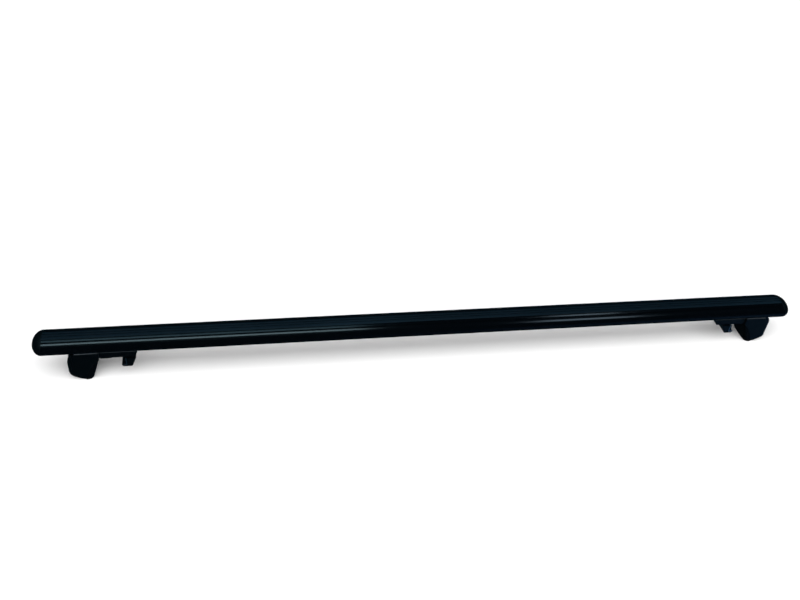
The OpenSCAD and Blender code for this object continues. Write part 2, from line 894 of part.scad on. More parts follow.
bar_extrusion();
top_strip();
end_cap_left();
end_cap_right();
place(left) foot_body();  // foot_body_left
place(left) foot_gasket();  // foot_gasket_left
place(left) toe_pad();  // toe_pad_left
place(left) rail_pads();  // rail_pads_left
place(left) clamp_screw();  // clamp_screw_left
place(left) clamp_washer();  // clamp_washer_left
place(left) screw_clip();  // screw_clip_left
place(left) travel(left) jaw();  // jaw_left
place(left) travel(left) hook_plate();  // hook_plate_left
place(left) travel(left) jaw_pad();  // jaw_pad_left
place(left) travel(left) jaw_nut();  // jaw_nut_left
place(left) outer_cover();  // outer_cover_left
place(left) cover_pin();  // cover_pin_left
place(left) lock_barrel();  // lock_barrel_left
place(left) fixing_screw();  // fixing_screw_left
place(left) slot_nut();  // slot_nut_left
place(right) foot_body();  // foot_body_right
place(right) foot_gasket();  // foot_gasket_right
place(right) toe_pad();  // toe_pad_right
place(right) rail_pads();  // rail_pads_right
place(right) clamp_screw();  // clamp_screw_right
place(right) clamp_washer();  // clamp_washer_right
place(right) screw_clip();  // screw_clip_right
place(right) travel(right) jaw();  // jaw_right
place(right) travel(right) hook_plate();  // hook_plate_right
place(right) travel(right) jaw_pad();  // jaw_pad_right
place(right) travel(right) jaw_nut();  // jaw_nut_right
place(right) outer_cover();  // outer_cover_right
place(right) cover_pin();  // cover_pin_right
place(right) lock_barrel();  // lock_barrel_right
place(right) fixing_screw();  // fixing_screw_right
place(right) slot_nut();  // slot_nut_right
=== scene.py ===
"""Roof crossbar: gives its solids their finishes, fits the detailed pieces and builds the studio.

Everything is in metres in the frame of the solids: X along the bar, the front is -Y, Z is up.
A foot's own pieces are drawn outward from its toe and then turned to the left or right side.
"""
import math

import bmesh
import bpy
from mathutils import Matrix, Vector


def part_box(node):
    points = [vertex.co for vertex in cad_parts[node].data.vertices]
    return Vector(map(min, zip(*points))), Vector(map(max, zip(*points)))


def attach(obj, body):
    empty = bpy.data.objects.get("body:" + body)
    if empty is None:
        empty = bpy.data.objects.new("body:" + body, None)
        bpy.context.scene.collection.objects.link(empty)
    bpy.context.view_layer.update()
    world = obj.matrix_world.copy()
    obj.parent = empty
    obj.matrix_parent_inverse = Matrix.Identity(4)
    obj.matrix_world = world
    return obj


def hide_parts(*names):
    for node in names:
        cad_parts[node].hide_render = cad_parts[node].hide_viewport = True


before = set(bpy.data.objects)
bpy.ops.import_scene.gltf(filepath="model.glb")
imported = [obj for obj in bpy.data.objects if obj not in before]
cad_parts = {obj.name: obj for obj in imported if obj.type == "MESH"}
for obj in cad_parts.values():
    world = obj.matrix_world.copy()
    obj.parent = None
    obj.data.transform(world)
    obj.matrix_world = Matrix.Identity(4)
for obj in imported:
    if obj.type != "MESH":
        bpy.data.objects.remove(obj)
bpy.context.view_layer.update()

bl_info = {
    "name": "Roof Crossbar Dressing",
    "version": (1, 0, 0),
    "blender": (4, 5, 0),
    "location": "3D View > Sidebar > Crossbar",
    "description": "Finishes, fine pieces and studio for a roof crossbar with clamping feet",
    "category": "Object",
}

MM = 0.001
SIDES = ("left", "right")
# Sign of the outward direction along X
OUTWARD = {"left": -1, "right": 1}
# Along a foot, outward from its toe: the cover's outer face, the fixing screw, the ends of the rail pads
COVER_REACH = 33.3 * MM
FIXING_X = -67.9 * MM
SEAT_X = (-14.5 * MM, -30.5 * MM)
# Above the ground: the axes of lock and clamp screw, the rail pads' face, the inside of their pockets
LOCK_Z = 27 * MM
CLAMP_Z = 41.3 * MM
SEAT_Z = 36.8 * MM
ARM_Z = 38 * MM
SCREW_RADIUS = 2.5 * MM


def node_box(name):
    """Lowest and highest corner of a solid, as vectors."""
    low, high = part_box(name)
    return Vector(low), Vector(high)


def toe_x(side):
    """Where a foot's toe stands along the bar, read from the cover at the foot's outer end."""
    low, high = node_box("outer_cover_" + side)
    return low.x + COVER_REACH if side == "left" else high.x - COVER_REACH


# The caps carry the whole oval, which the channels cut out of the extrusion
CAP_LOW, CAP_HIGH = node_box("end_cap_right")
BAR_Z = (CAP_LOW.z + CAP_HIGH.z) / 2
HALF_WIDTH = (CAP_HIGH.y - CAP_LOW.y) / 2
HALF_HEIGHT = (CAP_HIGH.z - CAP_LOW.z) / 2
SEAM_X = node_box("bar_extrusion")[1].x
TOE_X = {side: toe_x(side) for side in SIDES}


class BarSettings(bpy.types.PropertyGroup):
    """Extrusion, rubber strip and end caps."""

    anodising: bpy.props.FloatVectorProperty(
        name="Anodising", description="Colour of the black anodised surface",
        subtype="COLOR", size=3, min=0, max=1, default=(0.0002, 0.0004, 0.0007))
    gloss_roughness: bpy.props.FloatProperty(
        name="Metal roughness", description="Mean roughness of the anodised surface",
        min=0.05, max=1, default=0.13)
    edge_radius: bpy.props.FloatProperty(
        name="Edge radius", description="Radius of the section's front and rear edges",
        subtype="DISTANCE", unit="LENGTH", min=0.008, max=0.01, default=9 * MM)
    cap_squareness: bpy.props.FloatProperty(
        name="Cap squareness", description="2 rounds the caps as an ellipse, more makes them squarer",
        min=2, max=3, default=2.1)
    seam_bevel: bpy.props.FloatProperty(
        name="Seam bevel", description="Rounding of each cap's edge at its seam with the extrusion",
        subtype="DISTANCE", unit="LENGTH", min=0, max=0.001, default=0.3 * MM)
    strip_rubber: bpy.props.FloatVectorProperty(
        name="Strip rubber", description="Colour of the ribbed strip along the crown",
        subtype="COLOR", size=3, min=0, max=1, default=(0.0012, 0.0041, 0.007))
    rib_round: bpy.props.FloatProperty(
        name="Rib rounding", description="Radius of the strip's rib edges",
        subtype="DISTANCE", unit="LENGTH", min=0.0001, max=0.0005, default=0.3 * MM)


class FootSettings(bpy.types.PropertyGroup):
    """Moulded feet, covers, jaws and their rubber."""

    nylon: bpy.props.FloatVectorProperty(
        name="Nylon", description="Colour of the moulded feet, covers, jaws and caps",
        subtype="COLOR", size=3, min=0, max=1, default=(0.0002, 0.0006, 0.0009))
    nylon_roughness: bpy.props.FloatProperty(
        name="Nylon roughness", description="Mean roughness of the moulded surfaces",
        min=0.1, max=1, default=0.42)
    soft_edge: bpy.props.FloatProperty(
        name="Soft edge", description="Radius by which moulded edges look rounded",
        subtype="DISTANCE", unit="LENGTH", min=0, max=0.001, default=0.45 * MM)
    pad_rubber: bpy.props.FloatVectorProperty(
        name="Pad rubber", description="Colour of the toe pads and the smaller pads",
        subtype="COLOR", size=3, min=0, max=1, default=(0.0003, 0.0006, 0.0009))
    # Painted highlight: the gasket is coloured much paler than the other rubber to stand for the light line
    # along the seam of foot and bar
    gasket_rubber_painted_highlight: bpy.props.FloatVectorProperty(
        name="Gasket rubber", description="Colour of the paler gasket between foot and bar",
        subtype="COLOR", size=3, min=0, max=1, default=(0.02, 0.026, 0.031))
    pebble: bpy.props.FloatProperty(
        name="Pebble size", description="Spacing of the pebbles on the toe pads",
        subtype="DISTANCE", unit="LENGTH", min=0.0005, max=0.004, default=1.5 * MM)


class HardwareSettings(bpy.types.PropertyGroup):
    """Screws, plates and locks."""

    zinc: bpy.props.FloatVectorProperty(
        name="Zinc", description="Colour of the zinc-plated steel",
        subtype="COLOR", size=3, min=0, max=1, default=(0.52, 0.54, 0.56))
    nickel: bpy.props.FloatVectorProperty(
        name="Nickel", description="Colour of the lock barrels",
        subtype="COLOR", size=3, min=0, max=1, default=(0.56, 0.55, 0.52))
    thread_pitch: bpy.props.FloatProperty(
        name="Thread pitch", description="Pitch of the clamp and fixing screws",
        subtype="DISTANCE", unit="LENGTH", min=0.0005, max=0.0015, default=0.8 * MM)


class StudioSettings(bpy.types.PropertyGroup):
    """Camera, floor and lights."""

    lens: bpy.props.FloatProperty(
        name="Lens", description="Focal length in millimetres on a 36 mm wide frame",
        min=20, max=200, default=40.5)
    floor: bpy.props.FloatVectorProperty(
        name="Floor", description="Colour of the floor",
        subtype="COLOR", size=3, min=0, max=1, default=(0.86, 0.86, 0.86))
    sky_strength: bpy.props.FloatProperty(
        name="Sky strength", description="Strength of the soft light on the floor, in watts per square metre",
        min=0, max=20, default=5.9)
    strip_power: bpy.props.FloatProperty(
        name="Crown lights", description="Power of the long lights that shine in the crown, in watts",
        min=0, max=100, default=1.3)


GROUPS = {
    "crossbar_bar": BarSettings,
    "crossbar_foot": FootSettings,
    "crossbar_hardware": HardwareSettings,
    "crossbar_studio": StudioSettings,
}


class Signal:
    """A number in a node tree. Sums and products of signals add Math nodes to the tree."""

    def __init__(self, tree, socket):
        self.tree = tree
        self.socket = socket

    def maths(self, operation, first, second):
        """Adds the Math node of an operation on signals or plain numbers."""
        node = self.tree.nodes.new("ShaderNodeMath")
        node.operation = operation
        for place, value in enumerate((first, second)):
            connect(self.tree, node.inputs[place], value)
        return Signal(self.tree, node.outputs[0])

    def __add__(self, other):
        return self.maths("ADD", self, other)

    def __radd__(self, other):
        return self.maths("ADD", other, self)

    def __sub__(self, other):
        return self.maths("SUBTRACT", self, other)

    def __rsub__(self, other):
        return self.maths("SUBTRACT", other, self)

    def __mul__(self, other):
        return self.maths("MULTIPLY", self, other)

    def __rmul__(self, other):
        return self.maths("MULTIPLY", other, self)


def connect(tree, target, value):
    """Links a signal to a socket, or sets the socket to a plain value."""
    if isinstance(value, Signal):
        tree.links.new(value.socket, target)
    else:
        target.default_value = value


class Network:
    """A node tree under construction."""

    def __init__(self, tree):
        self.tree = tree

    def add(self, kind, settings=(), inputs=(), output=0):
        """Adds a node: its settings first, then the values or links of its sockets."""
        node = self.tree.nodes.new(kind)
        for name, value in dict(settings).items():
            if name == "stops":
                self.set_stops(node.color_ramp, value)
            else:
                setattr(node, name, value)
        for socket, value in dict(inputs).items():
            connect(self.tree, node.inputs[socket], value)
        return Signal(self.tree, node.outputs[output])

    def set_stops(self, ramp, stops):
        """Gives a ramp its grey stops, each a position and a value."""
        while len(ramp.elements) < len(stops):
            ramp.elements.new(1)
        for element, (position, value) in zip(ramp.elements, stops):
            element.position = position
            element.color = (value, value, value, 1)

    def ramp(self, value, *stops):
        """A signal led through a ramp of (position, value) stops."""
        return self.add("ShaderNodeValToRGB", {"stops": stops}, {"Fac": value})

    def mix(self, factor, first, second):
        """Mix of two colours, each a signal or three numbers."""
        colours = [c if isinstance(c, Signal) else (*c, 1) for c in (first, second)]
        return self.add("ShaderNodeMix", {"data_type": "RGBA"}, {
            0: factor, 6: colours[0], 7: colours[1]}, output=2)


class Finish(Network):
    """A material under construction, around one Principled shader."""

    def __init__(self, name, colour, **constants):
        self.material = bpy.data.materials.new(name)
        self.material.use_nodes = True
        self.material.diffuse_color = (*colour, 1)
        super().__init__(self.material.node_tree)
        self.shader = self.tree.nodes["Principled BSDF"]
        self.feed("Base Color", (*colour, 1))
        for socket, value in constants.items():
            self.feed(socket.replace("_", " "), value)
        self.place = self.add("ShaderNodeTexCoord", output="Object")

    def feed(self, socket, value):
        """Sets or links a socket of the shader."""
        connect(self.tree, self.shader.inputs[socket], value)

    def noise(self, scale, detail=2, stretch=(1, 1, 1), roughness=0.5):
        """Fractal noise from 0 to 1. Scale counts features per metre, and stretch divides it by axis."""
        place = self.add("ShaderNodeVectorMath", {"operation": "MULTIPLY"},
                         {0: self.place, 1: tuple(1 / s for s in stretch)})
        return self.add("ShaderNodeTexNoise", {}, {
            "Vector": place, "Scale": scale, "Detail": detail, "Roughness": roughness})

    def soft_edges(self, radius):
        """The surface's direction with its edges rounded, and a mask of how near an edge is."""
        rounded = self.add("ShaderNodeBevel", {"samples": 6}, {"Radius": radius})
        unrounded = self.add("ShaderNodeNewGeometry", output="Normal")
        match = self.add("ShaderNodeVectorMath", {"operation": "DOT_PRODUCT"},
                         {0: rounded, 1: unrounded}, output="Value")
        return rounded, self.ramp(1 - match, (0.004, 0), (0.06, 1))

    def bump(self, height, distance, strength=1, normal=None):
        """Leads a height, as a share of a distance, to the shader's normal."""
        inputs = {"Height": height, "Distance": distance, "Strength": strength}
        if normal is not None:
            inputs["Normal"] = normal
        self.feed("Normal", self.add("ShaderNodeBump", {}, inputs))


def anodised_extrusion(settings):
    """Satin black anodising: die lines along the bar, cloudy gloss, and edges painted lighter as a painted
    highlight.
    """
    base = tuple(settings.anodising)
    finish = Finish("anodised_extrusion", base, Metallic=0.0, Specular_IOR_Level=0.5)
    lines = finish.noise(900, 3, (400, 1, 1))
    clouds = finish.noise(9, 3, (3, 1, 1))
    fine = finish.noise(6000, 2)
    rounded, edge = finish.soft_edges(0.2 * MM)
    lighter = tuple(2.2 * c for c in base)
    # The edge mask lightens the colour near edges: a painted highlight
    finish.feed("Base Color", finish.mix(lines * 0.5 + edge * 0.4, base, lighter))
    finish.feed("Roughness", settings.gloss_roughness - 0.05 + 0.06 * clouds + 0.05 * lines)
    finish.bump(lines * 0.7 + fine * 0.3, 0.02 * MM, 0.5, rounded)
    return finish.material


def ribbed_rubber(settings):
    """Matt strip rubber: fine drawn lines, talc-like bloom in patches, and painted shade that darkens the
    grooves to near black.
    """
    base = tuple(settings.strip_rubber)
    finish = Finish("ribbed_strip_rubber", base, Specular_IOR_Level=0.4)
    drawn = finish.noise(1500, 2, (120, 1, 1))
    grain = finish.noise(3500, 3)
    bloom = finish.ramp(finish.noise(22, 4, (4, 1, 1)), (0.42, 0), (0.75, 1))
    # Painted shade: an occlusion mask marks the grooves between the ribs, and the colour there turns near
    # black
    groove_occlusion_for_painted_shade = finish.add("ShaderNodeAmbientOcclusion", {"samples": 6}, {"Distance": 2 * MM}, output="AO")
    outside_painted_shade = finish.ramp(groove_occlusion_for_painted_shade, (0.45, 0), (0.85, 1))
    lighter = tuple(2.4 * c for c in base)
    surface = finish.mix(bloom * 0.5 + drawn * 0.25, base, lighter)
    # The near-black colour mixed in here is painted shade in the grooves
    finish.feed("Base Color", finish.mix(outside_painted_shade, (0.0002, 0.0004, 0.0006), surface))
    finish.feed("Roughness", 0.46 + 0.12 * grain + 0.08 * bloom)
    finish.bump(drawn * 0.5 + grain * 0.5, 0.03 * MM, 0.6)
    return finish.material


def moulded_nylon(name, settings, grain_scale, grain_depth, roughness):
    """Glass-filled nylon: spark-eroded grain, faint flow marks, and edges that the mould left glossier and
    that are also painted lighter as a painted highlight.
    """
    base = tuple(settings.nylon)
    finish = Finish(name, base, Specular_IOR_Level=0.5)
    rounded, edge = finish.soft_edges(settings.soft_edge)
    grain = finish.noise(grain_scale, 3, roughness=0.65)
    flow = finish.noise(45, 4, (2.5, 1, 1))
    fibres = finish.ramp(finish.noise(2600, 1, (3, 1, 1)), (0.66, 0), (0.74, 1))
    lighter = tuple(2.2 * c for c in base)
    # Near edges the colour is lighter: a painted highlight; the lower roughness there is the mould's real
    # gloss
    finish.feed("Base Color", finish.mix(flow * 0.5 + fibres * 0.25 + edge * 0.3, base, lighter))
    finish.feed("Roughness", roughness - 0.05 + 0.12 * flow + 0.06 * grain - 0.1 * edge)
    finish.bump(grain, grain_depth, 0.8, rounded)
    return finish.material


def pebbled_rubber(settings):
    """Rubber of the toe pads: close pebbles with matt hollows between them, the hollows darkened with painted
    shade.
    """
    base = tuple(settings.pad_rubber)
    finish = Finish("pebbled_toe_rubber", base, Specular_IOR_Level=0.35)
    pebbles = finish.add("ShaderNodeTexVoronoi", {"feature": "F1"}, {
        "Vector": finish.place, "Scale": 1 / settings.pebble, "Randomness": 0.55}, output="Distance")
    grain = finish.noise(5000, 3)
    dust = finish.noise(60, 4)
    domes = 1 - pebbles * pebbles * 2
    lighter = tuple(2.6 * c for c in base)
    # Pebble tops are painted lighter than the hollows: painted shade between the pebbles
    finish.feed("Base Color", finish.mix(domes * 0.4 + dust * 0.3, base, lighter))
    finish.feed("Roughness", 0.72 - 0.14 * domes + 0.1 * grain)
    finish.bump(domes * 0.85 + grain * 0.15, 0.25 * MM, 0.9)
    return finish.material


def plain_rubber(name, colour):
    """Rubber of gaskets and small pads: matt with a fine grain and a painted highlight along its edges."""
    base = tuple(colour)
    finish = Finish(name, base, Specular_IOR_Level=0.35)
    rounded, edge = finish.soft_edges(0.3 * MM)
    grain = finish.noise(3200, 3)
    patches = finish.noise(80, 3)
    lighter = tuple(2.4 * c for c in base)
    # Near edges the colour is lighter: a painted highlight
    finish.feed("Base Color", finish.mix(patches * 0.5 + edge * 0.3, base, lighter))
    finish.feed("Roughness", 0.6 + 0.15 * grain + 0.08 * patches)
    finish.bump(grain, 0.04 * MM, 0.7, rounded)
    return finish.material


def zinc_plate(settings):
    """Bright zinc on steel: rolled lines, crystalline patches, and a painted highlight that brightens the
    edges.
    """
    base = tuple(settings.zinc)
    finish = Finish("zinc_plated_steel", base, Metallic=1.0)
    rounded, edge = finish.soft_edges(0.25 * MM)
    rolled = finish.noise(1800, 3, (1, 25, 1))
    patches = finish.noise(400, 2)
    dull = tuple(0.62 * c for c in base)
    bright = tuple(min(1, 1.25 * c) for c in base)
    plated = finish.mix(patches * 0.7 + rolled * 0.3, dull, base)
    # The brighter colour near edges is a painted highlight
    finish.feed("Base Color", finish.mix(edge * 0.6, plated, bright))
    finish.feed("Roughness", 0.24 + 0.14 * rolled + 0.1 * patches)
    finish.bump(rolled, 0.012 * MM, 0.5, rounded)
    return finish.material


def lock_nickel(settings):
    """Nickel-plated barrel: turned rings about its axis, soft wear in patches, and a painted highlight along
    its edges.
    """
    base = tuple(settings.nickel)
    finish = Finish("nickel_lock_barrel", base, Metallic=1.0)
    rounded, edge = finish.soft_edges(0.2 * MM)
    turned = finish.noise(2500, 2, (1, 30, 30))
    wear = finish.noise(300, 4)
    dull = tuple(0.7 * c for c in base)
    # Wear noise dulls patches at random; the edge mask brightens the edges as a painted highlight
    finish.feed("Base Color", finish.mix(wear * 0.6 + edge * 0.3, dull, base))
    finish.feed("Roughness", 0.2 + 0.1 * wear + 0.08 * turned)
    finish.bump(turned, 0.01 * MM, 0.4, rounded)
    return finish.material


def finish_named(name):
    """The scene's material of that name, made once from the settings."""
    scene = bpy.context.scene
    bar, foot, hardware = scene.crossbar_bar, scene.crossbar_foot, scene.crossbar_hardware
    makers = {
        "anodised_extrusion": lambda: anodised_extrusion(bar),
        "ribbed_strip_rubber": lambda: ribbed_rubber(bar),
        "foot_nylon": lambda: moulded_nylon(name, foot, 2600, 0.05 * MM, foot.nylon_roughness),
        "cover_nylon": lambda: moulded_nylon(name, foot, 3600, 0.03 * MM, foot.nylon_roughness - 0.07),
        "cap_nylon": lambda: moulded_nylon(name, foot, 3000, 0.05 * MM, foot.nylon_roughness + 0.06),
        "jaw_nylon": lambda: moulded_nylon(name, foot, 1800, 0.07 * MM, foot.nylon_roughness),
        "pebbled_toe_rubber": lambda: pebbled_rubber(foot),
        "plain_rubber": lambda: plain_rubber(name, foot.pad_rubber),
        # The gasket's pale colour is a painted highlight
        "gasket_rubber_painted_highlight": lambda: plain_rubber(name, foot.gasket_rubber_painted_highlight),
        "zinc_plated_steel": lambda: zinc_plate(hardware),
        "nickel_lock_barrel": lambda: lock_nickel(hardware),
    }
    found = bpy.data.materials.get(name)
    return found or makers[name]()


def paint(obj, name):
    """Gives a new piece its finish."""
    obj.data.materials.clear()
    obj.data.materials.append(finish_named(name))


def paint_node(node, name):
    """Gives a solid another finish through its material slots."""
    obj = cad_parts[node]
    if not obj.material_slots:
        obj.data.materials.append(None)
    for holder in obj.material_slots:
        holder.material = finish_named(name)


def lofted(rings, closed_ends=True):
    """A skin over rings of points, each ring closed on itself."""
    mesh = bmesh.new()
    rows = [[mesh.verts.new(p) for p in ring] for ring in rings]
    count = len(rings[0])
    for near, far in zip(rows, rows[1:]):
        for i in range(count):
            j = (i + 1) % count
            mesh.faces.new((near[i], near[j], far[j], far[i]))
    if closed_ends:
        mesh.faces.new(list(reversed(rows[0])))
        mesh.faces.new(rows[-1])
    bmesh.ops.recalc_face_normals(mesh, faces=mesh.faces)
    return mesh


def directions(steps):
    """Angles evenly round a circle."""
    return [2 * math.pi * k / steps for k in range(steps)]


def round_ring(x, radius, angles):
    """A circle of points about the X axis."""
    return [(x, radius * math.cos(a), radius * math.sin(a)) for a in angles]


def mesh_object(name, mesh):
    """Turns a bmesh into an object of the scene."""
    data = bpy.data.meshes.new(name)
    mesh.to_mesh(data)
    mesh.free()
    if not data.polygons:
        raise RuntimeError(name + " has no faces")
    obj = bpy.data.objects.new(name, data)
    bpy.context.scene.collection.objects.link(obj)
    return obj


def piece(name, mesh, body, finish, replaced, smooth_angle=35):
    """A named piece on a body, with its finish and the solid that it stands for."""
    obj = mesh_object(name, mesh)
    obj.data.shade_smooth()
    obj.data.set_sharp_from_angle(angle=math.radians(smooth_angle))
    paint(obj, finish)
    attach(obj, body)
    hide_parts(replaced)
    return obj


def mirrored(mesh):
    """Turns a mesh over to the other end of the bar."""
    mesh.transform(Matrix.Scale(-1, 4, (1, 0, 0)))
    bmesh.ops.reverse_faces(mesh, faces=mesh.faces)
    return mesh


def to_side(mesh, side, travel=0.0):
    """Moves a mesh drawn outward from the toe to its place under the left or right end."""
    mesh.transform(Matrix.Translation((TOE_X[side] * OUTWARD[side] + travel, 0, 0)))
    return mirrored(mesh) if side == "left" else mesh


def section_radii():
    """The section's edge radius, how far from the middle its edges turn, and its crown radius."""
    radius = bpy.context.scene.crossbar_bar.edge_radius
    edge = HALF_WIDTH - radius
    crown = (edge ** 2 + HALF_HEIGHT ** 2 - radius ** 2) / (2 * (HALF_HEIGHT - radius))
    return radius, edge, crown


def oval(steps=24):
    """The bar's oval outline in y and z about its middle."""
    radius, edge, crown = section_radii()
    lean = math.asin(edge / (crown - radius))
    points = []
    for middle, r, first in (
            ((edge, 0), radius, lean - math.pi / 2),
            ((0, HALF_HEIGHT - crown), crown, math.pi / 2 - lean),
            ((-edge, 0), radius, math.pi / 2 + lean),
            ((0, crown - HALF_HEIGHT), crown, 1.5 * math.pi - lean)):
        sweep = math.pi - 2 * lean if r == radius else 2 * lean
        for i in range(steps):
            angle = first + sweep * i / steps
            points.append((middle[0] + r * math.cos(angle), middle[1] + r * math.sin(angle)))
    return points


def crown_height(y):
    """Height of the crown above the section's middle."""
    crown = section_radii()[2]
    return math.sqrt(crown ** 2 - y ** 2) - crown + HALF_HEIGHT


def joined(first, *others):
    """Adds the faces of other meshes to the first one."""
    for other in others:
        data = bpy.data.meshes.new("joined")
        other.to_mesh(data)
        other.free()
        first.from_mesh(data)
        bpy.data.meshes.remove(data)
    return first


def block(low, high, round_by):
    """A box with rounded edges, given by two corners."""
    mesh = bmesh.new()
    bmesh.ops.create_cube(mesh, size=1)
    size = Vector(high) - Vector(low)
    mesh.transform(Matrix.Translation((Vector(low) + Vector(high)) / 2) @ Matrix.Diagonal((*size, 1)))
    bmesh.ops.bevel(mesh, geom=mesh.edges, offset=round_by, segments=3, profile=0.5, affect="EDGES")
    return mesh


def cap_shell(length):
    """A cap's dome outward from its seam at x = 0, with a softened edge there."""
    settings = bpy.context.scene.crossbar_bar
    power = 2 / settings.cap_squareness
    bevel = settings.seam_bevel
    bevel_steps, steps, last = 4, 40, math.radians(84)
    rings = []
    for i in range(bevel_steps + 1):
        turn = math.pi / 2 * i / bevel_steps
        rings.append((bevel * (1 - math.cos(turn)), 1 - bevel * (1 - math.sin(turn)) / HALF_HEIGHT))
    for i in range(1, steps + 1):
        angle = last * i / steps
        x = length * math.sin(angle) ** power / math.sin(last) ** power
        if x > rings[-1][0]:
            rings.append((x, math.cos(angle) ** power))
    outline = oval()
    return lofted([[(x, size * y, size * z) for y, z in outline] for x, size in rings])


def cap_plug():
    """The ribbed tongue that holds a cap in the extrusion."""
    half, floor, roof, ribs, rib_depth = 20 * MM, -3 * MM, 3.3 * MM, 11, 0.5 * MM
    section = [(-half + half * i / (2 * ribs), roof if i % 4 in (1, 2) else roof - rib_depth)
               for i in range(4 * ribs + 1)]
    section += [(half, floor), (-half, floor)]
    tapered_end = ((-24 * MM, 0.95), (-22 * MM, 1), (0.5 * MM, 1))
    return lofted([[(x, size * y, size * z) for y, z in section] for x, size in tapered_end])


def end_cap(side):
    """Rounded cap with its ribbed plug in the bar."""
    low, high = node_box("end_cap_" + side)
    length = high.x - SEAM_X if side == "right" else -SEAM_X - low.x
    mesh = joined(cap_shell(length), cap_plug())
    mesh.transform(Matrix.Translation((SEAM_X, 0, BAR_Z)))
    if side == "left":
        mirrored(mesh)
    return piece("cap_moulding_" + side, mesh, "bar", "cap_nylon", "end_cap_" + side, 40)


def rib_tops(half, floor):
    """The strip's upper outline from front to rear: rounded ribs with grooves between them."""
    radius = bpy.context.scene.crossbar_bar.rib_round
    grooves, groove, depth, rise, steps = 2, 1.6 * MM, 0.9 * MM, 0.4 * MM, 4
    edges = [-half]
    for i in range(1, grooves + 1):
        middle = 2 * half * i / (grooves + 1) - half
        edges += [middle - groove / 2, middle + groove / 2]
    edges.append(half)
    top = []
    for low, high in zip(edges[::2], edges[1::2]):
        front, rear = crown_height(low) + rise, crown_height(high) + rise
        side = depth if low > -half else front - floor
        top.append((low, front - side))
        for i in range(steps + 1):
            turn = math.pi - math.pi / 2 * i / steps
            top.append((low + radius + radius * math.cos(turn), front - radius + radius * math.sin(turn)))
        for i in range(steps + 1):
            turn = math.pi / 2 - math.pi / 2 * i / steps
            top.append((high - radius + radius * math.cos(turn), rear - radius + radius * math.sin(turn)))
        side = depth if high < half else rear - floor
        top.append((high, rear - side))
    return top


def ribbed_strip():
    """Strip with rounded ribs, a stem through the channel's mouth and barbs under its lips."""
    half, floor, stem, barb, steps = 8 * MM, HALF_HEIGHT - 1.8 * MM, 4.8 * MM, 6.5 * MM, 24
    barb_top, barb_foot, barb_tip = HALF_HEIGHT - 3.7 * MM, HALF_HEIGHT - 5.3 * MM, barb * 0.9
    section = rib_tops(half, floor) + [
        (stem, floor), (stem, barb_top), (barb, barb_top), (barb_tip, barb_foot),
        (-barb_tip, barb_foot), (-barb, barb_top), (-stem, barb_top), (-stem, floor)]
    places = [SEAM_X * (2 * k / steps - 1) for k in range(steps + 1)]
    mesh = lofted([[(x, y, z + BAR_Z) for y, z in section] for x in places])
    return piece("rubber_strip", mesh, "bar", "ribbed_strip_rubber", "top_strip")


def hollow_face():
    """Points (x, z) up the foot's hollow inner face, which carries the toe pad."""
    low, high, radius, lowest = Vector((9.4, 0)) * MM, Vector((-9.6, 35)) * MM, 64 * MM, 1.2 * MM
    chord = high - low
    rise = math.sqrt(radius ** 2 - (chord.length / 2) ** 2) / chord.length
    middle = (low + high) / 2 + rise * Vector((-chord.y, chord.x))
    steps = 24
    heights = [lowest + (high.y - lowest) * i / steps for i in range(steps + 1)]
    return [(low.x, 0.0)] + [(middle.x + math.sqrt(radius ** 2 - (z - middle.y) ** 2), z) for z in heights]


def corner_pull(y, half, radius):
    """How far a corner of that radius draws back at a distance y from the middle."""
    return radius - math.sqrt(radius ** 2 - max(0, abs(y) - half + radius) ** 2)


def toe_pad(side):
    """Wedge of pebbled rubber with a crowned face, rounded corners and a rounded head."""
    back = hollow_face()
    half, lean, height, crown = 21.3 * MM, 11.2 * MM, 35 * MM, 1.5 * MM
    foot_corner, head_corner, border = 6 * MM, 1.2 * MM, 0.9 * MM
    steps, rows = 56, 24
    rings = []
    for i in range(steps + 1):
        y = -half * math.cos(math.pi * i / steps)
        bulge = crown * (1 - (y / half) ** 2)
        face = []
        for k in range(rows + 1):
            share = (1 + math.cos(math.pi * k / rows)) / 2
            corner = foot_corner + (head_corner - foot_corner) * share
            pull = corner_pull(y, half, corner)
            edge = min(share, 1 - share) * height
            if edge < border:
                pull += border - math.sqrt(border ** 2 - (border - edge) ** 2)
            face.append((-lean * share - bulge + pull, height * share))
        rings.append([(x, y, z) for x, z in back] + [(x, y, z) for x, z in face])
    mesh = to_side(lofted(rings), side)
    return piece("toe_tread_" + side, mesh, "foot_" + side, "pebbled_toe_rubber",
                 "toe_pad_" + side, 50)


def rib_line(low, high, ribs, depth):
    """Points of a ribbed line from low to high, its grooves cut to the left of its direction."""
    along = (high - low) / ribs
    inward = Vector((-along.y, along.x)).normalized() * depth
    points = []
    for i in range(ribs):
        start = low + along * i
        points += [start + inward, start + along * 0.2, start + along * 0.8]
    return points + [high + inward]


def jaw_pad(side, travel):
    """Ribbed rubber down the face of the jaw."""
    low, high = Vector((2.6, 25.3)) * MM, Vector((1.04, 36.3)) * MM
    line = rib_line(low, high, 7, 0.45 * MM)
    section = [(0, low.y)] + [tuple(p) for p in line] + [(0, high.y)]
    half, border = 18.5 * MM, 0.3 * MM
    rings = []
    for y, shrink in ((-half, 0.85), (-half + border, 0.95), (-half + 2 * border, 1), (half - 2 * border, 1),
                      (half - border, 0.95), (half, 0.85)):
        rings.append([(x * shrink, y, z) for x, z in section])
    mesh = to_side(lofted(rings), side, travel)
    return piece("jaw_tread_" + side, mesh, "jaw_" + side, "plain_rubber",
                 "jaw_pad_" + side, 30)


